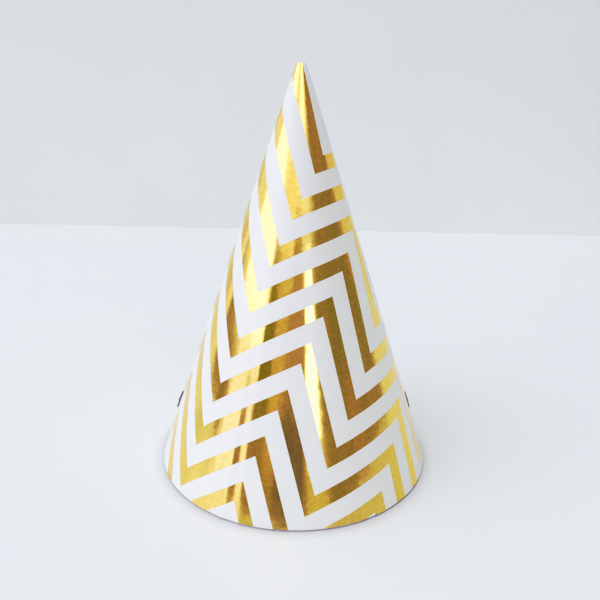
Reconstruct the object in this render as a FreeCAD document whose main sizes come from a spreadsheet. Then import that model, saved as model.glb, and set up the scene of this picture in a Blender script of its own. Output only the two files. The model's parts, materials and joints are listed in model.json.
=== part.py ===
"""Cone party hat: a rolled card sheet with stamped foil zigzags and an elastic with two metal bars.

Millimetres. +Z points at the tip, the rim stands on Z = 0 and the origin is the centre of the rim.
The front of the hat faces -Y and the seam is at the back, on +Y.

The card is a flat sector that is printed, cut and then rolled. It is a spiral, so its two ends lap
without a step in either surface. A place on it has two coordinates: the turn, which is the angle
round the hat from the card's inner end, and the share, which is 0 at the rim and 1 at the tip.
"""

import FreeCAD, Part
import Sketcher
import math
import os

from FreeCAD import Vector

DIMENSIONS = [
    ("base_radius", 57.0, "outer radius of the rim, at the front"),
    ("tip_radius", 1.9, "outer radius of the open tip"),
    ("hat_height", 159.5, "height of the tip over the rim"),
    ("card_thickness", 0.35, "thickness of the card"),
    ("glue_thickness", 0.05, "thickness of the glue in the seam"),
    ("lap_angle", 12.0, "angle over which the two ends of the card lap, in degrees"),
    ("glue_margin", 1.5, "angle left without glue beside each end, in degrees"),
    ("foil_bond", 0.01, "adhesive under the foil"),
    ("foil_film", 0.04, "thickness of the foil film"),
    ("foil_margin", 0.3, "bare card between the foil and the rim"),
    ("zigzag_pitch", 51.0, "length of one zigzag along a band"),
    ("zigzag_rise", 29.9, "height of a zigzag from its low to its high corners"),
    ("band_spacing", 18.7, "distance from one band to the next, across the bands"),
    ("band_share", 0.44, "share of that distance that is foil"),
    ("band_tilt", -25.1, "turn of the bands from the front's level, in degrees"),
    ("zigzag_start", 24.7, "place of a low corner along the bands"),
    ("band_start", -117.5, "place of one band's lower edge across the bands, halfway up a zigzag"),
    ("hole_height", 20.5, "height of the punched holes over the rim"),
    ("holes_middle", 2.0, "angle from the front of the middle between the holes, in degrees"),
    ("hole_angle", 95.3, "angle of each hole from that middle, in degrees"),
    ("hole_diameter", 2.0, "diameter of the punched holes"),
    ("bar_length", 8.5, "length of an end bar"),
    ("bar_width", 1.2, "width of an end bar"),
    ("bar_thickness", 0.85, "thickness of an end bar"),
    ("bar_rounding", 0.25, "rounding of the bar's outer edges"),
    ("bar_gap", 0.15, "space between a bar and the card"),
    ("collar_diameter", 2.0, "diameter of the crimp collar in the middle of a bar"),
    ("collar_height", 1.05, "height of the crimp collar"),
    ("socket_depth", 0.35, "depth of the cord's socket in the collar"),
    ("socket_clearance", 0.05, "radial clearance between the cord and its socket"),
    ("cord_diameter", 1.2, "diameter of the round elastic"),
    ("cord_straight", 7.0, "length of the elastic that runs straight in from a hole"),
]

# The elastic's way over the table inside the hat, from the left hole to the right one.
CORD_ROUTE = [
    (-38.7, 2.4, 10.5),
    (-36.7, 1.2, 0.62),
    (-31.0, -8.0, 0.62),
    (-20.5, -24.0, 0.62),
    (-2.0, -32.5, 0.62),
    (16.5, -27.0, 0.62),
    (22.0, -9.5, 0.62),
    (9.5, 4.0, 0.62),
    (-8.0, 12.5, 0.62),
    (-13.5, 29.0, 0.62),
    (2.5, 40.5, 0.62),
    (21.5, 35.5, 0.62),
    (33.0, 19.5, 0.62),
    (36.8, 5.3, 0.62),
    (38.5, 5.2, 10.5),
]

FULL_TURN = 2.0 * math.pi
# Angle round the hat between the points of a spline, and the angle that counts as none.
SPLINE_STEP = math.radians(6.0)
SAME_ANGLE = 1e-6
# Share of the shorter run beside a bend of the elastic that its arc takes up.
BEND_SHARE = 0.45
# How far a hole punch reaches each side of the card, and the smallest piece of foil that is made, in mm2.
PUNCH_REACH = 3.0
SMALLEST_PATCH = 1.0

doc = FreeCAD.newDocument("PartyHat")
sheet = doc.addObject("Spreadsheet::Sheet", "Sizes")
for row, (alias, value, note) in enumerate(DIMENSIONS, start=1):
    sheet.set("A%d" % row, alias)
    sheet.set("B%d" % row, str(value))
    sheet.setAlias("B%d" % row, alias)
    sheet.set("C%d" % row, note)
doc.recompute()


def size(alias):
    """Value of one driving dimension."""
    return float(sheet.get(alias))


# ------------------------------------------------------------------ the rolled card's geometry

slope = math.atan2(size("base_radius") - size("tip_radius"), size("hat_height"))
lap = math.radians(size("lap_angle"))
last_turn = FULL_TURN + lap
lap_step = (size("card_thickness") + size("glue_thickness")) / math.cos(slope)
rim_slant = size("base_radius") / math.sin(slope)
tip_slant = size("tip_radius") / math.sin(slope)


def card_point(turn, share, standoff):
    """Point of the rolled card, standoff outside its outer face, measured level."""
    radius = size("base_radius") + share * (size("tip_radius") - size("base_radius"))
    radius += lap_step * (turn - math.pi) / FULL_TURN + standoff
    angle = turn - math.pi
    return Vector(radius * math.sin(angle), -radius * math.cos(angle), share * size("hat_height"))


def ring_curve(share, standoff, first, last):
    """Spline round the card at one height, whose parameter is the turn."""
    steps = max(3, math.ceil((last - first) / SPLINE_STEP))
    turns = [first + (last - first) * i / steps for i in range(steps + 1)]
    curve = Part.BSplineCurve()
    curve.interpolate(Points=[card_point(turn, share, standoff) for turn in turns], Parameters=turns)
    return curve


def card_surface(standoff, first, last):
    """Ruled surface of straight lines from rim to tip, with parameters turn and share."""
    rim = ring_curve(0.0, standoff, first, last)
    tip = ring_curve(1.0, standoff, first, last)
    surface = Part.BSplineSurface()
    surface.buildFromPolesMultsKnots(
        [list(pair) for pair in zip(rim.getPoles(), tip.getPoles())],
        rim.getMultiplicities(),
        [2, 2],
        rim.getKnots(),
        [0.0, 1.0],
        False,
        False,
        rim.Degree,
        1,
    )
    return surface


def closed_solid(faces):
    """One solid from faces that meet edge to edge."""
    shell = Part.Shell(faces)
    shell.sewShape()
    solid = Part.Solid(Part.Shell(shell.Faces))
    if solid.Volume < 0:
        solid.reverse()
    return solid


def rolled_layer(first, last, inner, outer):
    """Solid layer of the roll between two standoffs from the card's outer face."""
    sections = []
    for share in (0.0, 1.0):
        inside = ring_curve(share, inner, first, last).toShape()
        outside = ring_curve(share, outer, first, last).toShape()
        ends = [
            Part.makeLine(card_point(turn, share, inner), card_point(turn, share, outer))
            for turn in (first, last)
        ]
        sections.append(Part.Wire([inside, ends[1], outside, ends[0]]))
    return Part.makeLoft(sections, True, True)


# ------------------------------------------------------------------ holes, and frames at the holes


def hole_frame(side):
    """Placement at a hole: Z out of the card along its normal and X up the slope. side is -1 or 1."""
    angle = math.radians(size("holes_middle") + side * size("hole_angle"))
    share = size("hole_height") / size("hat_height")
    centre = card_point(angle + math.pi, share, 0.0)
    level = Vector(math.sin(angle), -math.cos(angle), 0)
    outward = level * math.cos(slope) + Vector(0, 0, math.sin(slope))
    upward = level * -math.sin(slope) + Vector(0, 0, math.cos(slope))
    across = outward.cross(upward)
    return FreeCAD.Placement(centre, FreeCAD.Rotation(upward, across, outward, "ZXY"))


def add_hole_punch(name, side):
    """Cylinder that punches one hole."""
    punch = doc.addObject("Part::Cylinder", name)
    punch.setExpression("Radius", "Sizes.hole_diameter / 2")
    punch.Height = 2 * PUNCH_REACH
    inside = FreeCAD.Placement(Vector(0, 0, -PUNCH_REACH), FreeCAD.Rotation())
    punch.Placement = hole_frame(side).multiply(inside)
    return punch


# ------------------------------------------------------------------ the card and its glued seam


def add_cone_card(punches):
    """Rolled card with a punched hole each side."""
    blank = doc.addObject("Part::Feature", "card_blank")
    thickness = size("card_thickness") / math.cos(slope)
    blank.Shape = rolled_layer(0.0, last_turn, -thickness, 0.0)
    both = doc.addObject("Part::Fuse", "hole_punches")
    both.Base, both.Tool = punches
    card = doc.addObject("Part::Cut", "cone_card")
    card.Base = blank
    card.Tool = both
    return card


def add_seam_glue():
    """Glue between the two layers of card in the lap."""
    margin = math.radians(size("glue_margin"))
    glue = doc.addObject("Part::Feature", "seam_glue_strip")
    glue.Shape = rolled_layer(margin, lap - margin, 0.0, size("glue_thickness") / math.cos(slope))
    return glue


# ------------------------------------------------------------------ the foil bands


def flat_point(turn, slant):
    """Point of the card before it is rolled, with the cone's apex at the origin."""
    spread = (turn - math.pi) * math.sin(slope)
    return Vector(slant * math.sin(spread), -slant * math.cos(spread), 0)


def flat_sheet():
    """Flat outline of the stamped part of the card, which is all that shows once it is rolled."""
    turns = (lap, (lap + last_turn) / 2, last_turn)
    foot_slant = rim_slant - size("foil_margin")
    outer = Part.Arc(*[flat_point(turn, foot_slant) for turn in turns]).toShape()
    inner = Part.Arc(*[flat_point(turn, tip_slant) for turn in turns]).toShape()
    first_end, second_end = [
        Part.makeLine(flat_point(turn, tip_slant), flat_point(turn, foot_slant)) for turn in (lap, last_turn)
    ]
    return Part.Face(Part.Wire([outer, second_end, inner, first_end]))


def flat_band(number):
    """Flat zigzag band: its lower and upper edges are the same zigzag, a band's width apart."""
    tilt = FreeCAD.Rotation(Vector(0, 0, 1), size("band_tilt"))
    reach = math.ceil(2 * rim_slant / size("zigzag_pitch"))
    lower = []
    upper = []
    for corner in range(-2 * reach, 2 * reach + 1):
        along = size("zigzag_start") + corner * size("zigzag_pitch") / 2
        swing = size("zigzag_rise") / 2 * (1 if corner % 2 else -1)
        across = size("band_start") + number * size("band_spacing") + swing
        lower.append(tilt.multVec(Vector(along, across, 0)))
        upper.append(tilt.multVec(Vector(along, across + size("band_share") * size("band_spacing"), 0)))
    outline = lower + upper[::-1]
    return Part.Face(Part.makePolygon(outline + outline[:1]))


def rolled_place(point):
    """Turn and share of a flat point."""
    slant = math.hypot(point.x, point.y)
    turn = math.atan2(point.x, -point.y) / math.sin(slope) + math.pi
    return turn, (rim_slant - slant) / (rim_slant - tip_slant)


def rolled_edge(flat_edge, surface):
    """Edge on the surface that a flat edge becomes when the sheet is rolled."""
    ends = [flat_edge.valueAt(flat_edge.FirstParameter), flat_edge.valueAt(flat_edge.LastParameter)]
    turns = [rolled_place(end)[0] for end in ends]
    along_ring = isinstance(flat_edge.Curve, Part.Circle)
    along_slope = abs(turns[1] - turns[0]) < SAME_ANGLE
    if along_ring or along_slope:
        places = [FreeCAD.Base.Vector2d(*rolled_place(end)) for end in ends]
        return Part.Geom2d.Line2dSegment(*places).toShape(surface)
    run = ends[1] - ends[0]
    moment = ends[0].x * run.y - ends[0].y * run.x
    steps = max(3, math.ceil(abs(turns[1] - turns[0]) / SPLINE_STEP))
    places = []
    for i in range(steps + 1):
        turn = turns[0] + (turns[1] - turns[0]) * i / steps
        ray = flat_point(turn, 1.0)
        slant = moment / (ray.x * run.y - ray.y * run.x)
        places.append(FreeCAD.Base.Vector2d(*rolled_place(ray * slant)))
    curve = Part.Geom2d.BSplineCurve2d()
    curve.interpolate(places)
    return curve.toShape(surface)


def foil_solid(flat_face):
    """Thin film over one flat patch once it is rolled."""
    bottom = size("foil_bond") / math.cos(slope)
    top = (size("foil_bond") + size("foil_film")) / math.cos(slope)
    skins = []
    rims = []
    for standoff in (bottom, top):
        surface = card_surface(standoff, 0.0, last_turn)
        edges = [rolled_edge(edge, surface) for edge in flat_face.OuterWire.OrderedEdges]
        skins.append(Part.Face(surface, Part.Wire(edges)))
        rims.append(edges)
    walls = [Part.makeRuledSurface(low, high) for low, high in zip(*rims)]
    return closed_solid(skins + walls)


def add_foil_bands(punches):
    """One object for each band that crosses the card, numbered from the tip down."""
    sheet_face = flat_sheet()
    reach = math.ceil(2 * rim_slant / size("band_spacing"))
    bands = []
    for number in range(reach, -reach, -1):
        on_sheet = flat_band(number).common(sheet_face)
        patches = [face for face in on_sheet.Faces if face.Area > SMALLEST_PATCH]
        if not patches:
            continue
        film = Part.makeCompound([foil_solid(patch) for patch in patches])
        for punch in punches:
            if film.distToShape(punch.Shape)[0] == 0:
                film = film.cut(punch.Shape)
        band = doc.addObject("Part::Feature", "foil_band_%02d" % (len(bands) + 1))
        band.Shape = film
        bands.append(band)
    return bands


# ------------------------------------------------------------------ the elastic and its end bars


def base_plane(body):
    """The XY plane of a body's own origin."""
    return [item for item in body.Origin.OriginFeatures if item.Role == "XY_Plane"][0]


def add_sketch(body, name):
    """Empty sketch on a body's XY plane."""
    sketch = body.newObject("Sketcher::SketchObject", name)
    sketch.AttachmentSupport = (base_plane(body), [""])
    sketch.MapMode = "FlatFace"
    return sketch


def add_circle_sketch(body, name, radius):
    """Sketch of a circle at the origin, whose radius is an expression."""
    sketch = add_sketch(body, name)
    sketch.addGeometry(Part.Circle(Vector(0, 0, 0), Vector(0, 0, 1), 1.0), False)
    sketch.addConstraint(Sketcher.Constraint("Coincident", 0, 3, -1, 1))
    sketch.addConstraint(Sketcher.Constraint("Radius", 0, 1.0))
    sketch.setExpression("Constraints[1]", radius)
    return sketch


def add_bar_sketch(body):
    """Sketch of the bar's outline: a straight slot shape with round ends."""
    sketch = add_sketch(body, "bar_outline_" + body.Name)
    half = (size("bar_length") - size("bar_width")) / 2
    radius = size("bar_width") / 2
    up = Vector(0, 0, 1)
    quarter = math.pi / 2
    sketch.addGeometry(
        [
            Part.ArcOfCircle(Part.Circle(Vector(half, 0, 0), up, radius), -quarter, quarter),
            Part.LineSegment(Vector(half, radius, 0), Vector(-half, radius, 0)),
            Part.ArcOfCircle(Part.Circle(Vector(-half, 0, 0), up, radius), quarter, 3 * quarter),
            Part.LineSegment(Vector(-half, -radius, 0), Vector(half, -radius, 0)),
        ],
        False,
    )
    sketch.addConstraint(
        [
            Sketcher.Constraint("Tangent", 0, 2, 1, 1),
            Sketcher.Constraint("Tangent", 1, 2, 2, 1),
            Sketcher.Constraint("Tangent", 2, 2, 3, 1),
            Sketcher.Constraint("Tangent", 3, 2, 0, 1),
            Sketcher.Constraint("Equal", 0, 2),
            Sketcher.Constraint("PointOnObject", 0, 3, -1),
            Sketcher.Constraint("Symmetric", 0, 3, 2, 3, -1, 1),
            Sketcher.Constraint("Radius", 0, radius),
            Sketcher.Constraint("DistanceX", 2, 3, 0, 3, 2 * half),
        ]
    )
    sketch.setExpression("Constraints[7]", "Sizes.bar_width / 2")
    sketch.setExpression("Constraints[8]", "Sizes.bar_length - Sizes.bar_width")
    return sketch


def add_end_bar(name, side):
    """Pressed metal bar at one end of the elastic, with a crimp collar and a socket for the cord."""
    body = doc.addObject("PartDesign::Body", name)
    bar = body.newObject("PartDesign::Pad", "bar_" + name)
    bar.Profile = add_bar_sketch(body)
    bar.setExpression("Length", "Sizes.bar_thickness")
    doc.recompute()
    top_edges = [
        "Edge%d" % index
        for index, edge in enumerate(bar.Shape.Edges, start=1)
        if min(vertex.Z for vertex in edge.Vertexes) > size("bar_thickness") / 2
    ]
    rounding = body.newObject("PartDesign::Fillet", "bar_rounding_" + name)
    rounding.Base = (bar, top_edges)
    rounding.setExpression("Radius", "Sizes.bar_rounding")
    collar = body.newObject("PartDesign::Pad", "collar_" + name)
    collar.Profile = add_circle_sketch(body, "collar_outline_" + name, "Sizes.collar_diameter / 2")
    collar.setExpression("Length", "Sizes.collar_height")
    doc.recompute()
    top_rim = [
        "Edge%d" % index
        for index, edge in enumerate(collar.Shape.Edges, start=1)
        if min(vertex.Z for vertex in edge.Vertexes) > size("collar_height") - size("bar_rounding") / 2
    ]
    crown = body.newObject("PartDesign::Fillet", "collar_rounding_" + name)
    crown.Base = (collar, top_rim)
    crown.setExpression("Radius", "Sizes.bar_rounding")
    socket = body.newObject("PartDesign::Pocket", "socket_" + name)
    bore = "Sizes.cord_diameter / 2 + Sizes.socket_clearance"
    socket.Profile = add_circle_sketch(body, "socket_outline_" + name, bore)
    socket.Reversed = True
    socket.setExpression("Length", "Sizes.socket_depth")
    lift = FreeCAD.Placement(Vector(0, 0, size("bar_gap")), FreeCAD.Rotation())
    body.Placement = hole_frame(side).multiply(lift)
    doc.recompute()
    assert collar.Shape.Volume > rounding.Shape.Volume, name
    assert socket.Shape.Volume < crown.Shape.Volume, name
    return body


def cord_points():
    """The whole route, with the straight ends that lie on the axes of the holes."""
    seat = size("bar_gap") + size("socket_depth") - size("socket_clearance")
    ends = []
    for side in (-1, 1):
        frame = hole_frame(side)
        outer = frame.multVec(Vector(0, 0, seat))
        inner = frame.multVec(Vector(0, 0, -size("cord_straight")))
        ends.append([outer, inner])
    return ends[0] + [Vector(*point) for point in CORD_ROUTE] + ends[1][::-1]


def rounded_path(points):
    """Straight runs joined by tangent arcs, each as large as its two runs allow."""
    edges = []
    start = points[0]
    for before, corner, after in zip(points, points[1:], points[2:]):
        back = (before - corner).normalize()
        ahead = (after - corner).normalize()
        half_turn = (math.pi - back.getAngle(ahead)) / 2
        trim = BEND_SHARE * min((before - corner).Length, (after - corner).Length)
        radius = trim / math.tan(half_turn)
        print("cord bend: radius %.1f mm, turn %.0f degrees" % (radius, 2 * math.degrees(half_turn)))
        bisector = (back + ahead).normalize()
        middle = corner + bisector * (radius / math.cos(half_turn) - radius)
        arc_start = corner + back * trim
        arc_end = corner + ahead * trim
        edges.append(Part.LineSegment(start, arc_start).toShape())
        edges.append(Part.Arc(arc_start, middle, arc_end).toShape())
        start = arc_end
    edges.append(Part.LineSegment(start, points[-1]).toShape())
    return Part.Wire(edges)


def add_elastic_cord():
    """Round elastic from one bar to the other, lying on the table inside the hat."""
    path = doc.addObject("Part::Feature", "cord_path")
    path.Shape = rounded_path(cord_points())
    section = doc.addObject("Part::Circle", "cord_section")
    section.setExpression("Radius", "Sizes.cord_diameter / 2")
    section.Placement = hole_frame(-1)
    section.Placement.Base = path.Shape.Vertexes[0].Point
    cord = doc.addObject("Part::Sweep", "elastic_cord")
    cord.Sections = [section]
    cord.Spine = (path, ["Edge%d" % (i + 1) for i in range(len(path.Shape.Edges))])
    cord.Solid = True
    cord.Frenet = False
    doc.recompute()
    expected = math.pi * (size("cord_diameter") / 2) ** 2 * path.Shape.Length
    print("cord length %.1f mm" % path.Shape.Length)
    print("cord volume %.2f of %.2f mm3" % (cord.Shape.Volume, expected))
    return cord


# ------------------------------------------------------------------ build, test and write


def write_parts(parts):
    """Recompute, test every object and write each part to its own STEP file."""
    doc.recompute()
    for item in doc.Objects:
        problems = [state for state in item.State if state in ("Invalid", "Error")]
        assert not problems, (item.Name, problems)
    os.makedirs("parts", exist_ok=True)
    for part in parts:
        shape = part.Shape
        assert not shape.isNull() and shape.isValid() and shape.Volume > 0, part.Name
        part.Label = part.Name
        shape.exportStep("parts/%s.step" % part.Name)
        print("%-16s %8.3f mm3 in %d solids" % (part.Name, shape.Volume, len(shape.Solids)))


punches = [add_hole_punch("left_hole_punch", -1), add_hole_punch("right_hole_punch", 1)]
doc.recompute()
hat_parts = [add_cone_card(punches), add_seam_glue()]
hat_parts += add_foil_bands(punches)
hat_parts += [add_end_bar("left_end_bar", -1), add_end_bar("right_end_bar", 1)]
hat_parts.append(add_elastic_cord())
write_parts(hat_parts)
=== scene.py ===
"""Looks of the cone party hat: rolled glossy card, stamped gold foil, elastic and its two end bars.

Metres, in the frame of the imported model: +Z points at the tip, the front faces -Y and the seam is at
the back. Card and foil are made flat first, with the cone's apex at the origin of the flat sheet, and
then rolled. On the rolled sheet a place has a turn, the angle round the hat from the card's inner end,
and a share, 0 at the rim and 1 at the tip.
"""

import json
import math

import bmesh
import bpy
import numpy as np
from mathutils import Matrix, Vector


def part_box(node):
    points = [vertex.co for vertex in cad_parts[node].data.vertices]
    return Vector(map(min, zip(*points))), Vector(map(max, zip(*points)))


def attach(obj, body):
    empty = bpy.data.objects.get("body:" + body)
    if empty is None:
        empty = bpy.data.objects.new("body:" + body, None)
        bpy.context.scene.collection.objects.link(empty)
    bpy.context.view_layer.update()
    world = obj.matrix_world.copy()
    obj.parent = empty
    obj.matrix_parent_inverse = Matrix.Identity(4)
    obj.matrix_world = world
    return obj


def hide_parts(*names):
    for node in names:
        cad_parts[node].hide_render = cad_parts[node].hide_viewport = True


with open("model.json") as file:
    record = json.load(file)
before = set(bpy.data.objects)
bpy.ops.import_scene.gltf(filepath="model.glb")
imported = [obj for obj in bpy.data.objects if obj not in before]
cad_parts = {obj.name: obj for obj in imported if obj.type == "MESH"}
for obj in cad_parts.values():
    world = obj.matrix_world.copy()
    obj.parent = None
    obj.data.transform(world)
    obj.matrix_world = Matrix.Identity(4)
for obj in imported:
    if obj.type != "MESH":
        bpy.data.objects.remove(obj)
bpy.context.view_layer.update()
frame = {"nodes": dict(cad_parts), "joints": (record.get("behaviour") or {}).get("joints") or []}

MM = 0.001
card_low, card_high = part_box("cone_card")

# ------------------------------------------------------------------ the hat's driving dimensions

BASE_RADIUS = -card_low[1]
HAT_HEIGHT = card_high[2]
TIP_RADIUS = 1.9 * MM
CARD_THICKNESS = 0.35 * MM
GLUE_THICKNESS = 0.05 * MM
LAP = math.radians(12.0)
FOIL_BOND = 0.01 * MM
FOIL_TOP = 0.05 * MM
FOIL_MARGIN = 0.85 * MM
# The outer face starts CUT_LEAN up the slope from the rim, so the cut edge shows there as a dark band:
# partly the card's grey core, partly painted shade along the rim.
CUT_LEAN = 0.8 * MM
ZIGZAG_PITCH = 51.0 * MM
ZIGZAG_RISE = 29.9 * MM
BAND_SPACING = 18.7 * MM
BAND_SHARE = 0.44
BAND_TILT = math.radians(-25.1)
ZIGZAG_START = 24.7 * MM
BAND_START = -117.5 * MM
HOLE_RADIUS = 1.0 * MM
CORD_DIAMETER = 1.2 * MM

CORD_ROUTE_MM = [
    (-50.151, 2.892, 20.647),
    (-43.121, 2.486, 18.214),
    (-38.7, 2.4, 10.5),
    (-36.7, 1.2, 0.62),
    (-31.0, -8.0, 0.62),
    (-20.5, -24.0, 0.62),
    (-2.0, -32.5, 0.62),
    (16.5, -27.0, 0.62),
    (22.0, -9.5, 0.62),
    (9.5, 4.0, 0.62),
    (-8.0, 12.5, 0.62),
    (-13.5, 29.0, 0.62),
    (2.5, 40.5, 0.62),
    (21.5, 35.5, 0.62),
    (33.0, 19.5, 0.62),
    (36.8, 5.3, 0.62),
    (38.5, 5.2, 10.5),
    (43.064, 5.517, 18.214),
    (50.049, 6.411, 20.647),
]

SLOPE = math.atan2(BASE_RADIUS - TIP_RADIUS, HAT_HEIGHT)
FULL_TURN = 2 * math.pi
LAST_TURN = FULL_TURN + LAP
LAP_STEP = (CARD_THICKNESS + GLUE_THICKNESS) / math.cos(SLOPE)
RIM_SLANT = BASE_RADIUS / math.sin(SLOPE)
TIP_SLANT = TIP_RADIUS / math.sin(SLOPE)

# ------------------------------------------------------------------ camera

CAMERA_PLACE = (0.0, -0.23365, 0.14596)
CAMERA_LENS_MM = 35.86
CAMERA_SENSOR_MM = 36.0
LOOK_DOWN = math.radians(18.30)
LOOK_RIGHT = math.radians(0.36)
CAMERA_ROLL = math.radians(1.25)


def add_camera():
    """Camera a little below the tip's height, looking down at the hat."""
    data = bpy.data.cameras.new("camera")
    data.lens = CAMERA_LENS_MM
    data.sensor_width = CAMERA_SENSOR_MM
    data.clip_start = 0.01
    camera = bpy.data.objects.new("camera", data)
    bpy.context.scene.collection.objects.link(camera)
    camera.matrix_world = (
        Matrix.Translation(CAMERA_PLACE)
        @ Matrix.Rotation(-LOOK_RIGHT, 4, "Z")
        @ Matrix.Rotation(math.pi / 2 - LOOK_DOWN, 4, "X")
        @ Matrix.Rotation(CAMERA_ROLL, 4, "Z")
    )
    bpy.context.scene.camera = camera


# Light in the scene and how bright the picture shows it: deep shadows and soft highlights, as a
# small camera's picture has.
FULL_WHITE = 1.6
TONE_CURVE = [
    (0.05, 0.013),
    (0.1, 0.044),
    (0.2, 0.147),
    (0.44, 0.515),
    (0.65, 0.708),
    (0.96, 0.93),
    (1.21, 0.99),
]


def set_tone_curve():
    """Plain display colours after a camera's contrast curve."""
    view = bpy.context.scene.view_settings
    view.view_transform = "Standard"
    view.use_curve_mapping = True
    mapping = view.curve_mapping
    mapping.white_level = (FULL_WHITE, FULL_WHITE, FULL_WHITE)
    curve = mapping.curves[3]
    for light, shown in TONE_CURVE:
        curve.points.new(light / FULL_WHITE, shown)
    mapping.update()


# ------------------------------------------------------------------ node helpers


def new_material(name):
    """Material with an empty node tree that ends in a Principled shader."""
    material = bpy.data.materials.new(name)
    material.use_nodes = True
    nodes = material.node_tree.nodes
    nodes.clear()
    output = nodes.new("ShaderNodeOutputMaterial")
    shader = nodes.new("ShaderNodeBsdfPrincipled")
    material.node_tree.links.new(shader.outputs["BSDF"], output.inputs["Surface"])
    return material, shader


class Graph:
    """Short calls for wiring nodes in one tree."""

    def __init__(self, tree):
        self.nodes = tree.nodes
        self.links = tree.links

    def put(self, value, socket):
        """Link an output, or set a constant."""
        if isinstance(value, bpy.types.NodeSocket):
            self.links.new(value, socket)
        else:
            socket.default_value = value

    def math(self, operation, first, second=0.0):
        node = self.nodes.new("ShaderNodeMath")
        node.operation = operation
        self.put(first, node.inputs[0])
        self.put(second, node.inputs[1])
        return node.outputs[0]

    def remap(self, value, low, high, to_low=0.0, to_high=1.0, smooth=False):
        node = self.nodes.new("ShaderNodeMapRange")
        node.interpolation_type = "SMOOTHSTEP" if smooth else "LINEAR"
        for socket, number in zip(node.inputs, (value, low, high, to_low, to_high)):
            self.put(number, socket)
        return node.outputs[0]

    def noise(self, vector, scale, detail=2.0, roughness=0.5):
        node = self.nodes.new("ShaderNodeTexNoise")
        self.put(vector, node.inputs["Vector"])
        node.inputs["Scale"].default_value = scale
        node.inputs["Detail"].default_value = detail
        node.inputs["Roughness"].default_value = roughness
        return node.outputs["Fac"]

    def stretch(self, vector, factors):
        node = self.nodes.new("ShaderNodeVectorMath")
        node.operation = "MULTIPLY"
        self.put(vector, node.inputs[0])
        node.inputs[1].default_value = factors
        return node.outputs[0]

    def length(self, vector):
        node = self.nodes.new("ShaderNodeVectorMath")
        node.operation = "LENGTH"
        self.put(vector, node.inputs[0])
        return node.outputs["Value"]

    def mix(self, factor, first, second):
        node = self.nodes.new("ShaderNodeMix")
        node.data_type = "RGBA"
        self.put(factor, node.inputs["Factor"])
        self.put(first, node.inputs["A"])
        self.put(second, node.inputs["B"])
        return node.outputs["Result"]

    def bump(self, height, distance, strength=1.0, after=None):
        node = self.nodes.new("ShaderNodeBump")
        node.inputs["Distance"].default_value = distance
        node.inputs["Strength"].default_value = strength
        self.put(height, node.inputs["Height"])
        if after is not None:
            self.put(after, node.inputs["Normal"])
        return node.outputs["Normal"]

    def flat_sheet_place(self):
        """Place on the unrolled sheet, in metres."""
        node = self.nodes.new("ShaderNodeUVMap")
        node.uv_map = "flat_sheet"
        return node.outputs["UV"]

    def object_place(self):
        return self.nodes.new("ShaderNodeTexCoord").outputs["Object"]


# ------------------------------------------------------------------ materials


def coated_card_material():
    """Smooth white coating with a soft gloss over a faint paper grain."""
    material, shader = new_material("coated_white_card")
    graph = Graph(material.node_tree)
    place = graph.flat_sheet_place()
    clouds = graph.noise(place, 90.0, 3.0)
    fibres = graph.noise(graph.stretch(place, (1.0, 0.35, 1.0)), 5200.0, 3.0)
    tone = graph.remap(clouds, 0.3, 0.7)
    colour = graph.mix(tone, (0.805, 0.835, 0.745, 1), (0.83, 0.86, 0.77, 1))
    graph.put(colour, shader.inputs["Base Color"])
    graph.put(graph.remap(clouds, 0.3, 0.7, 0.30, 0.38), shader.inputs["Roughness"])
    coarse = graph.bump(clouds, 0.03 * MM, 0.5)
    graph.put(graph.bump(fibres, 0.012 * MM, 0.35, coarse), shader.inputs["Normal"])
    return material


def plain_card_material(name, base, darker):
    """Uncoated board, as on the inside and at the cut edges."""
    material, shader = new_material(name)
    graph = Graph(material.node_tree)
    place = graph.object_place()
    fibres = graph.noise(place, 2600.0, 4.0, 0.65)
    flecks = graph.noise(place, 420.0, 3.0)
    tone = graph.math("MULTIPLY", graph.remap(flecks, 0.35, 0.7), 0.8)
    graph.put(graph.mix(tone, base, darker), shader.inputs["Base Color"])
    graph.put(graph.remap(fibres, 0.3, 0.7, 0.75, 0.95), shader.inputs["Roughness"])
    graph.put(graph.bump(fibres, 0.04 * MM, 0.5), shader.inputs["Normal"])
    return material


def gold_foil_material():
    """Bright stamped gold with fine drawn streaks and a slightly uneven gloss."""
    material, shader = new_material("stamped_gold_foil")
    graph = Graph(material.node_tree)
    place = graph.flat_sheet_place()
    clouds = graph.noise(place, 160.0, 3.0)
    mottles = graph.noise(place, 650.0, 3.0)
    specks = graph.noise(place, 3800.0, 2.0)
    tone = graph.remap(mottles, 0.35, 0.65)
    colour = graph.mix(tone, (0.90, 0.61, 0.185, 1), (0.99, 0.71, 0.225, 1))
    graph.put(colour, shader.inputs["Base Color"])
    graph.put(graph.remap(clouds, 0.3, 0.7, 0.09, 0.12), shader.inputs["Roughness"])
    coarse = graph.bump(clouds, 0.12 * MM, 0.5)
    graph.put(graph.bump(specks, 0.006 * MM, 0.5, coarse), shader.inputs["Normal"])
    shader.inputs["Metallic"].default_value = 1.0
    return material


def bar_metal_material():
    """Dull pressed steel with fine drawing marks along the bar."""
    material, shader = new_material("pressed_steel")
    graph = Graph(material.node_tree)
    place = graph.object_place()
    marks = graph.noise(graph.stretch(place, (6.0, 6.0, 1.0)), 900.0, 3.0)
    tone = graph.remap(marks, 0.35, 0.65)
    graph.put(graph.mix(tone, (0.20, 0.18, 0.165, 1), (0.34, 0.32, 0.30, 1)), shader.inputs["Base Color"])
    graph.put(graph.remap(marks, 0.3, 0.7, 0.32, 0.5), shader.inputs["Roughness"])
    graph.put(graph.bump(marks, 0.02 * MM, 0.5), shader.inputs["Normal"])
    shader.inputs["Metallic"].default_value = 1.0
    return material


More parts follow.
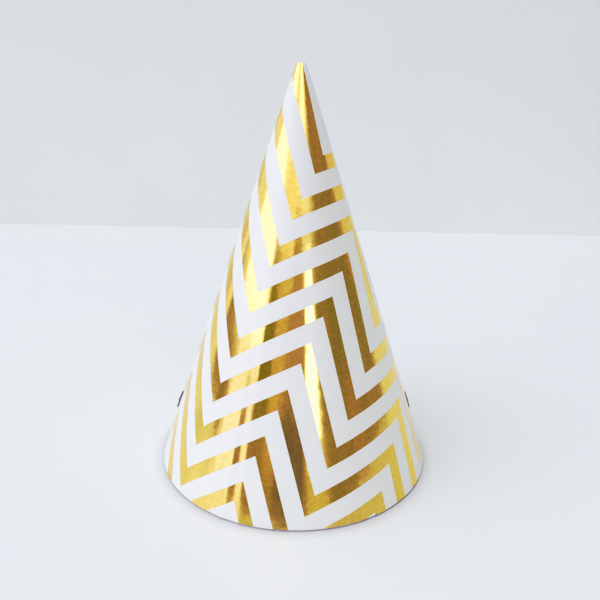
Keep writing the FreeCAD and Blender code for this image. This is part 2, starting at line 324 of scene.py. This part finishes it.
def elastic_material():
    """White braided elastic: fine crossing threads and a soft sheen."""
    material, shader = new_material("white_braided_elastic")
    graph = Graph(material.node_tree)
    place = graph.object_place()
    threads = graph.noise(graph.stretch(place, (1.0, 1.0, 2.0)), 4200.0, 2.0)
    tone = graph.remap(threads, 0.3, 0.7)
    graph.put(graph.mix(tone, (0.68, 0.68, 0.67, 1), (0.86, 0.86, 0.85, 1)), shader.inputs["Base Color"])
    graph.put(graph.remap(threads, 0.3, 0.7, 0.6, 0.8), shader.inputs["Roughness"])
    graph.put(graph.bump(threads, 0.08 * MM, 0.7), shader.inputs["Normal"])
    shader.inputs["Sheen Weight"].default_value = 0.2
    return material


# Painted contact shadow on the floor: how near the hat it starts, the distances from the hat's axis
# between which it stops (in rim radii), its strength and its colour.
CONTACT_SHADOW_REACH = 5.5 * MM
CONTACT_SHADOW_ENDS = (1.2, 1.6)
CONTACT_SHADOW_STRENGTH = 0.78
CONTACT_SHADOW_COLOUR = (0.05, 0.05, 0.06, 1)


def with_painted_contact_shadow(graph, place, clean):
    """Colour of the floor with a painted contact shadow: darker close to the rim of the hat that stands
    on it.
    """
    contact = graph.nodes.new("ShaderNodeAmbientOcclusion")
    contact.inputs["Distance"].default_value = CONTACT_SHADOW_REACH
    inner, outer = [ratio * BASE_RADIUS for ratio in CONTACT_SHADOW_ENDS]
    beyond = graph.remap(graph.length(place), inner, outer)
    openness = graph.math("MAXIMUM", contact.outputs["AO"], beyond)
    dark = graph.mix(CONTACT_SHADOW_STRENGTH, clean, CONTACT_SHADOW_COLOUR)
    return graph.mix(openness, dark, clean)


def stage_material(name, low, high, roughness, painted_shadow_under_hat=False):
    """Plain pale surface of the room, hardly uneven; under the hat it gets a painted contact shadow round
    the rim.
    """
    material, shader = new_material(name)
    graph = Graph(material.node_tree)
    place = graph.object_place()
    colour = graph.mix(graph.noise(place, 6.0, 2.0), low, high)
    # Under the hat the floor's colour gets a painted contact shadow, darker near the rim.
    if painted_shadow_under_hat:
        colour = with_painted_contact_shadow(graph, place, colour)
    graph.put(colour, shader.inputs["Base Color"])
    shader.inputs["Roughness"].default_value = roughness
    return material


# ------------------------------------------------------------------ the rolled sheet

# Slight waves all round the card: depth as a share of the radius, waves in a turn, the angle at which
# they start and how far they lean with the share (both in radians).
RIPPLES = [
    (0.0009, 9, 0.7, 0.6),
    (0.0005, 23, 2.1, -1.4),
]

# Soft creases along the slope. Each is a few waves: the angle from the front at which a wave rises, the
# middle and reach of the waves (all in degrees), depth as a share of the radius, how many such waves
# would go round the hat, and the lowest and highest share.
CREASES = [
    (-21.3, -24.5, 6.5, 0.0026, 43, -1.0, 0.5),
    (-31.5, -31.5, 3.0, 0.0007, 80, -1.0, 0.5),
    (3.0, 3.0, 6.0, 0.0005, 60, -1.0, 2.0),
    (-52.0, -52.0, 10.0, 0.0005, 40, -1.0, 2.0),
    (33.0, 33.0, 9.0, 0.0004, 44, -1.0, 2.0),
    (118.0, 118.0, 12.0, 0.0011, 38, -1.0, 2.0),
    (-140.0, -140.0, 14.0, 0.0009, 42, -1.0, 2.0),
]
CREASE_END = 0.15


def ripple(turn, share):
    """Slight waves that rolling leaves in the card, as a share of the radius."""
    waves = 0.0
    for depth, count, start, lean in RIPPLES:
        waves = waves + depth * np.sin(count * turn + start + lean * share)
    for rise, middle, reach, depth, count, lowest, highest in CREASES:
        away = np.degrees(turn - math.pi) - middle
        fade = np.exp(-((away / reach) ** 2))
        fade = fade * np.clip((share - lowest) / CREASE_END, 0, 1)
        fade = fade * np.clip((highest - share) / CREASE_END, 0, 1)
        waves += depth * fade * np.sin(count * (turn - math.pi - math.radians(rise)))
    return waves


def sheet_points(turn, share, standoff):
    """Places on the rolled sheet, standoff outside the card's outer face."""
    radius = BASE_RADIUS + share * (TIP_RADIUS - BASE_RADIUS)
    radius = radius * (1 + ripple(turn, share)) + LAP_STEP * (turn - math.pi) / FULL_TURN
    radius = radius + standoff / math.cos(SLOPE)
    angle = turn - math.pi
    return np.stack([radius * np.sin(angle), -radius * np.cos(angle), share * HAT_HEIGHT], axis=1)


def sheet_normals(turn, share):
    """Outward normals of the rolled sheet, from its formula."""
    step = 1e-4
    around = sheet_points(turn + step, share, 0.0) - sheet_points(turn - step, share, 0.0)
    upward = sheet_points(turn, share + step, 0.0) - sheet_points(turn, share - step, 0.0)
    normals = np.cross(around, upward)
    return normals / np.linalg.norm(normals, axis=1)[:, None]


def spread_of(turn):
    """Angle on the flat sheet, from its middle line."""
    return (turn - math.pi) * math.sin(SLOPE)


def rolled_piece(name, flat, low, high, materials):
    """Closed layer between two standoffs, over a flat mesh whose points are (spread, slant, 0).

    materials are those of the outer face, the inner face and the cut edges.
    """
    bmesh.ops.recalc_face_normals(flat, faces=flat.faces)
    flat.verts.index_update()
    spread = np.array([vert.co.x for vert in flat.verts])
    slant = np.array([vert.co.y for vert in flat.verts])
    count = len(spread)
    turn = spread / math.sin(SLOPE) + math.pi
    share = (RIM_SLANT - slant) / (RIM_SLANT - TIP_SLANT)
    # The cut face left below the outer face at the rim is the dark rim band, partly painted shade.
    outer_share = np.maximum(share, CUT_LEAN / (RIM_SLANT - TIP_SLANT))
    points = np.concatenate([sheet_points(turn, outer_share, high), sheet_points(turn, share, low)])
    outer_faces = [[vert.index for vert in face.verts] for face in flat.faces]
    outward = sheet_normals(turn, share)
    first = outer_faces[0]
    facing = np.cross(points[first[1]] - points[first[0]], points[first[2]] - points[first[0]])
    if facing @ outward[first[0]] < 0:
        outer_faces = [face[::-1] for face in outer_faces]
    inner_faces = [[index + count for index in face[::-1]] for face in outer_faces]
    # Each side of each face, in its own direction: one without its opposite is a cut edge.
    directed = {}
    for face in outer_faces:
        for start, end in zip(face, face[1:] + face[:1]):
            directed[(start, end)] = True
    edge_faces = [
        [end, start, start + count, end + count]
        for start, end in directed
        if (end, start) not in directed
    ]
    mesh = bpy.data.meshes.new(name)
    mesh.from_pydata(points.tolist(), [], outer_faces + inner_faces + edge_faces)
    for material in materials:
        mesh.materials.append(material)
    kinds = [0] * len(outer_faces) + [1] * len(inner_faces) + [2] * len(edge_faces)
    mesh.polygons.foreach_set("material_index", kinds)
    mesh.polygons.foreach_set("use_smooth", [True] * len(kinds))
    flat_x = slant * np.sin(spread)
    flat_y = -slant * np.cos(spread)
    corner_verts = np.zeros(len(mesh.loops), dtype=np.int32)
    mesh.loops.foreach_get("vertex_index", corner_verts)
    corner_verts %= count
    layer = mesh.uv_layers.new(name="flat_sheet")
    layer.data.foreach_set("uv", np.stack([flat_x, flat_y], axis=1)[corner_verts].ravel())
    corner_normals = outward[corner_verts]
    outer_corners = sum(len(face) for face in outer_faces)
    corner_normals[outer_corners:] *= -1
    edge_start = 2 * outer_corners
    for index, face in enumerate(edge_faces):
        corners = points[face]
        normal = np.cross(corners[1] - corners[0], corners[3] - corners[0])
        normal /= max(np.linalg.norm(normal), 1e-12)
        corner_normals[edge_start + 4 * index : edge_start + 4 * index + 4] = normal
    mesh.normals_split_custom_set(corner_normals.tolist())
    mesh.update()
    piece = bpy.data.objects.new(name, mesh)
    bpy.context.scene.collection.objects.link(piece)
    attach(piece, "hat")
    return piece


def steps_with_detail(low, high, step, places, reach, fine):
    """Even steps from low to high, with finer ones near each of the places."""
    values = list(np.linspace(low, high, round((high - low) / step) + 1))
    for place in places:
        values = [value for value in values if abs(value - place) > reach]
        values += list(np.linspace(place - reach, place + reach, round(2 * reach / fine) + 1))
    return sorted(values)


def hole_places():
    """(spread, slant) of each punched hole, from the joints at the holes."""
    places = []
    for joint in frame["joints"]:
        x, y, z = joint["pos_m"]
        turn = math.atan2(x, -y) + math.pi
        slant = RIM_SLANT - z / HAT_HEIGHT * (RIM_SLANT - TIP_SLANT)
        places.append((spread_of(turn), slant))
    return places


def punch_holes(flat):
    """Open a round hole at each hole's place, in a mesh whose points are (spread, slant, 0)."""
    for spread, slant in hole_places():

        def offset(point):
            return Vector(((point.x - spread) * slant, point.y - slant, 0))

        inside = [face for face in flat.faces if offset(face.calc_center_median()).length < HOLE_RADIUS]
        if not inside:
            continue
        rim = {
            vert
            for face in inside
            for vert in face.verts
            if any(other not in inside for other in vert.link_faces)
        }
        bmesh.ops.delete(flat, geom=inside, context="FACES")
        for vert in rim:
            if not vert.is_valid:
                continue
            away = offset(vert.co).normalized() * HOLE_RADIUS
            vert.co.x = spread + away.x / slant
            vert.co.y = slant + away.y


# Steps of the card's grid, and the reach and step of the finer grid round each hole. Around the hat
# they are angles on the flat sheet, in radians.
CARD_STEP_AROUND = math.radians(0.33)
CARD_STEP_UP = 3.5 * MM
HOLE_DETAIL_AROUND = (0.016, 0.0014)
HOLE_DETAIL_UP = (2.4 * MM, 0.3 * MM)


def add_cone_card():
    """The rolled card: coated outside, plain inside and at its cut edges."""
    holes = hole_places()
    hole_spreads = [hole[0] for hole in holes]
    hole_slant = holes[0][1]  # both holes are equally high
    ends = spread_of(0.0), spread_of(LAST_TURN)
    spreads = steps_with_detail(*ends, CARD_STEP_AROUND, hole_spreads, *HOLE_DETAIL_AROUND)
    slants = steps_with_detail(TIP_SLANT, RIM_SLANT, CARD_STEP_UP, [hole_slant], *HOLE_DETAIL_UP)
    flat = bmesh.new()
    rows = [[flat.verts.new((spread, slant, 0)) for spread in spreads] for slant in slants]
    for lower, upper in zip(rows, rows[1:]):
        for left in range(len(spreads) - 1):
            right = left + 1
            flat.faces.new((lower[left], lower[right], upper[right], upper[left]))
    punch_holes(flat)
    inside = plain_card_material("plain_card_inside", (0.74, 0.73, 0.71, 1), (0.66, 0.65, 0.62, 1))
    # The cut edges are the card's grey core, painted darker still to stand for the shade along the rim
    # where the card meets the table.
    edge = plain_card_material("cut_card_edge_and_rim_shade", (0.475, 0.44, 0.415, 1), (0.39, 0.36, 0.34, 1))
    card = rolled_piece("card_shell", flat, -CARD_THICKNESS, 0.0, [coated_card_material(), inside, edge])
    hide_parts("cone_card")
    flat.free()


# ------------------------------------------------------------------ the foil bands

STEPS_PER_HALF_WAVE = 56
ROWS_ACROSS = 10
WIDEST_EDGE = math.radians(2.5)
SHORTEST_EDGE = 0.1 * MM
MOST_HALVINGS = 5


def band_grid(number):
    """Flat zigzag band as a fine grid, on the sheet before rolling."""
    turned = Matrix.Rotation(BAND_TILT, 3, "Z")
    reach = math.ceil(2 * RIM_SLANT / ZIGZAG_PITCH)
    flat = bmesh.new()
    columns = []
    for half_wave in range(-2 * reach, 2 * reach):
        for step in range(STEPS_PER_HALF_WAVE):
            part = step / STEPS_PER_HALF_WAVE
            along = ZIGZAG_START + (half_wave + part) * ZIGZAG_PITCH / 2
            rising = part if half_wave % 2 == 0 else 1 - part
            across = BAND_START + number * BAND_SPACING + ZIGZAG_RISE * (rising - 0.5)
            column = []
            for row in range(ROWS_ACROSS + 1):
                place = Vector((along, across + BAND_SHARE * BAND_SPACING * row / ROWS_ACROSS, 0))
                column.append(flat.verts.new(turned @ place))
            columns.append(column)
    for before, after in zip(columns, columns[1:]):
        for row in range(ROWS_ACROSS):
            flat.faces.new((before[row], after[row], after[row + 1], before[row + 1]))
    return flat


def cut(flat, place, away):
    """Keep what is on the near side of a line."""
    everything = list(flat.verts) + list(flat.edges) + list(flat.faces)
    bmesh.ops.bisect_plane(
        flat, geom=everything, dist=1e-9, plane_co=place, plane_no=away, clear_outer=True
    )


def spread_and_slant(point):
    """Angle and distance from the apex of a place on the flat sheet."""
    return math.atan2(point.x, -point.y), math.hypot(point.x, point.y)


def refine(flat):
    """Halve the edges that would go too far round the cone, as they do near the tip."""
    widest = spread_of(math.pi + WIDEST_EDGE)
    for _ in range(MOST_HALVINGS):
        wide = []
        for edge in flat.edges:
            (first, first_slant), (second, second_slant) = (spread_and_slant(v.co) for v in edge.verts)
            near_sheet = max(first_slant, second_slant) > TIP_SLANT
            if near_sheet and edge.calc_length() > SHORTEST_EDGE and abs(first - second) > widest:
                wide.append(edge)
        if not wide:
            return
        bmesh.ops.subdivide_edges(flat, edges=wide, cuts=1)


def trimmed_band(number):
    """The part of a band that is on the sheet, as a mesh with points (spread, slant, 0), or None."""
    flat = band_grid(number)
    for turn, side in ((LAST_TURN, 1), (LAP, -1)):
        spread = spread_of(turn)
        cut(flat, (0, 0, 0), (side * math.cos(spread), side * math.sin(spread), 0))
    outside = [
        face
        for face in flat.faces
        if not any(TIP_SLANT < vert.co.length < RIM_SLANT for vert in face.verts)
    ]
    bmesh.ops.delete(flat, geom=outside, context="FACES")
    refine(flat)
    for vert in flat.verts:
        spread, slant = spread_and_slant(vert.co)
        vert.co = (spread, slant, 0)
    cut(flat, (0, RIM_SLANT - FOIL_MARGIN, 0), (0, 1, 0))
    cut(flat, (0, TIP_SLANT, 0), (0, -1, 0))
    bmesh.ops.dissolve_degenerate(flat, dist=1e-7, edges=flat.edges)
    loose = [vert for vert in flat.verts if not vert.link_faces]
    bmesh.ops.delete(flat, geom=loose, context="VERTS")
    if not flat.faces:
        return None
    punch_holes(flat)
    return flat


def add_foil_bands():
    """One foil piece for each band, in place of the model's plain films, from the tip down."""
    gold = gold_foil_material()
    nodes = sorted(name for name in frame["nodes"] if name.startswith("foil_band_"))
    highest = math.ceil(2 * RIM_SLANT / BAND_SPACING)
    made = 0
    for number in range(highest, -highest, -1):
        flat = trimmed_band(number)
        if flat is None or made == len(nodes):
            continue
        node = nodes[made]
        band = rolled_piece("gold_" + node, flat, FOIL_BOND, FOIL_TOP, [gold, gold, gold])
        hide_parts(node)
        flat.free()
        made += 1
    print("foil bands made:", made, "of", len(nodes))


# ------------------------------------------------------------------ elastic, bars and glue


def add_elastic():
    """Round elastic on the table inside the hat, up to a hole at each side."""
    data = bpy.data.curves.new("elastic", "CURVE")
    data.dimensions = "3D"
    data.bevel_depth = CORD_DIAMETER / 2
    data.bevel_resolution = 4
    data.resolution_u = 10
    spline = data.splines.new("NURBS")
    spline.points.add(len(CORD_ROUTE_MM) - 1)
    for point, place in zip(spline.points, CORD_ROUTE_MM):
        point.co = (*[value * MM for value in place], 1.0)
    spline.order_u = 3
    spline.use_endpoint_u = True
    data.materials.append(elastic_material())
    cord = bpy.data.objects.new("elastic", data)
    bpy.context.scene.collection.objects.link(cord)
    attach(cord, "hat")
    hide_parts("elastic_cord")


def dress(node, material):
    """Give a kept CAD node its material."""
    mesh = frame["nodes"][node].data
    mesh.materials.clear()
    mesh.materials.append(material)


# ------------------------------------------------------------------ room and light


def add_plane(name, corners, material):
    """Flat piece of the room, which isn't part of the hat."""
    mesh = bpy.data.meshes.new(name)
    mesh.from_pydata(corners, [], [(0, 1, 2, 3)])
    mesh.materials.append(material)
    plane = bpy.data.objects.new(name, mesh)
    bpy.context.scene.collection.objects.link(plane)


def add_room():
    """Plain pale table top with a plain wall behind it."""
    left, right = -1.2, 0.42
    front, back = -0.2, 0.477
    wall_left, wall_right, wall_top = -0.5, 0.5, 2.0
    floor = [(left, front, 0), (right, front, 0), (right, back, 0), (left, back, 0)]
    wall = [
        (wall_left, back, 0),
        (wall_right, back, 0),
        (wall_right, back, wall_top),
        (wall_left, back, wall_top),
    ]
    floor_shades = (0.82, 0.875, 0.805, 1), (0.84, 0.895, 0.825, 1)
    wall_shades = (0.775, 0.82, 0.755, 1), (0.835, 0.88, 0.815, 1)
    # The floor's colour holds a painted contact shadow round the hat's rim.
    add_plane("floor", floor, stage_material("pale_floor", *floor_shades, 0.2, painted_shadow_under_hat=True))
    add_plane("wall", wall, stage_material("pale_wall", *wall_shades, 0.7))


# Each light zone of the room: azimuth and half width, lowest and highest elevation, blur (degrees) and
# brightness. A later zone covers the ones before it. Azimuth 0 is the side that the hat's front faces,
# and +90 is its +X side. The rest of the room varies softly between the two DARK_ROOM shades.
LIGHT_ZONES = [
    ("walls_behind", 180, 78, -90, 90, 5, (0.68, 0.72, 0.80)),
    ("right_wall", 127, 24, 3, 90, 4, (0.62, 0.595, 0.59)),
    ("left_wall", -118, 24, 0, 90, 4, (0.89, 0.90, 1.12)),
    ("left_shelf", -129, 8, -6, 10, 4, (0.62, 0.60, 0.70)),
    ("dark_cabinet", -98, 9, -6, 10, 3, (0.34, 0.33, 0.42)),
    ("overhead", -32, 62, 29, 90, 12, (1.72, 1.67, 1.97)),
    ("soft_ceiling", -18, 12, 22, 44, 4, (1.08, 0.97, 0.98)),
    ("ceiling_beam", 0, 5, 20, 28, 2, (0.38, 0.34, 0.32)),
    ("left_window", -67.5, 25, 9, 90, 5, (1.84, 1.84, 2.37)),
    ("window_sill", -61, 11.5, -12, 8, 4, (1.22, 1.21, 1.68)),
    ("warm_corner", -19, 10, 3, 22, 4, (0.54, 0.47, 0.43)),
    ("green_shelf", -34, 5, 7, 21, 2, (0.25, 0.28, 0.165)),
    ("warm_cupboard", 2, 10, 10, 19, 4, (0.40, 0.345, 0.43)),
    ("narrow_lamp", 19.5, 5.5, 5, 23, 2, (3.0, 3.1, 3.7)),
    ("lamp_on_table", 21, 7.5, -4, 4, 2, (0.52, 0.50, 0.43)),
    ("dark_doorway", -5, 10, 0, 9, 3, (0.22, 0.22, 0.36)),
]
DARK_ROOM = ((0.265, 0.285, 0.30), (0.345, 0.305, 0.38))
CLUTTER_SCALE = 4.0
CLUTTER_RANGE = (0.38, 0.62)
PLAIN_BACKGROUND = (0.66, 0.695, 0.72, 1)


def add_light():
    """World of soft zones round the hat, which the camera sees as plain and pale."""
    world = bpy.data.worlds.new("room_light")
    bpy.context.scene.world = world
    world.use_nodes = True
    tree = world.node_tree
    tree.nodes.clear()
    graph = Graph(tree)
    direction = tree.nodes.new("ShaderNodeTexCoord").outputs["Generated"]
    split = tree.nodes.new("ShaderNodeSeparateXYZ")
    tree.links.new(direction, split.inputs[0])
    x, y, z = split.outputs
    level = graph.math("SQRT", graph.math("SUBTRACT", 1.0, graph.math("MULTIPLY", z, z)))
    level = graph.math("MAXIMUM", level, 0.001)
    clutter = graph.remap(graph.noise(direction, CLUTTER_SCALE), *CLUTTER_RANGE, smooth=True)
    colour = graph.mix(clutter, *[(*shade, 1) for shade in DARK_ROOM])
    for name, azimuth, half, low, high, blur, brightness in LIGHT_ZONES:
        azimuth_angle = math.radians(azimuth)
        toward = graph.math("MULTIPLY", x, math.sin(azimuth_angle))
        toward = graph.math("SUBTRACT", toward, graph.math("MULTIPLY", y, math.cos(azimuth_angle)))
        toward = graph.math("DIVIDE", toward, level)
        edge_out = math.cos(math.radians(min(180, half + blur)))
        edge_in = math.cos(math.radians(max(0, half - blur)))
        mask = graph.remap(toward, edge_out, edge_in, smooth=True)
        for bound, sign in ((low, 1), (high, -1)):
            if abs(bound) < 90:
                start = math.sin(math.radians(bound - sign * blur))
                end = math.sin(math.radians(bound + sign * blur))
                mask = graph.math("MULTIPLY", mask, graph.remap(z, start, end, smooth=True))
        colour = graph.mix(mask, colour, (*brightness, 1))
        colour.node.label = name
    lit = tree.nodes.new("ShaderNodeBackground")
    graph.put(colour, lit.inputs["Color"])
    seen = tree.nodes.new("ShaderNodeBackground")
    seen.inputs["Color"].default_value = PLAIN_BACKGROUND
    choose = tree.nodes.new("ShaderNodeMixShader")
    rays = tree.nodes.new("ShaderNodeLightPath")
    tree.links.new(rays.outputs["Is Camera Ray"], choose.inputs[0])
    tree.links.new(lit.outputs[0], choose.inputs[1])
    tree.links.new(seen.outputs[0], choose.inputs[2])
    output = tree.nodes.new("ShaderNodeOutputWorld")
    tree.links.new(choose.outputs[0], output.inputs["Surface"])


set_tone_curve()
add_camera()
add_elastic()
add_cone_card()
add_foil_bands()
bar_metal = bar_metal_material()
for bar_node in ("left_end_bar", "right_end_bar"):
    dress(bar_node, bar_metal)
dress("seam_glue_strip", plain_card_material("dried_glue", (0.75, 0.73, 0.64, 1), (0.68, 0.65, 0.56, 1)))
add_room()
add_light()
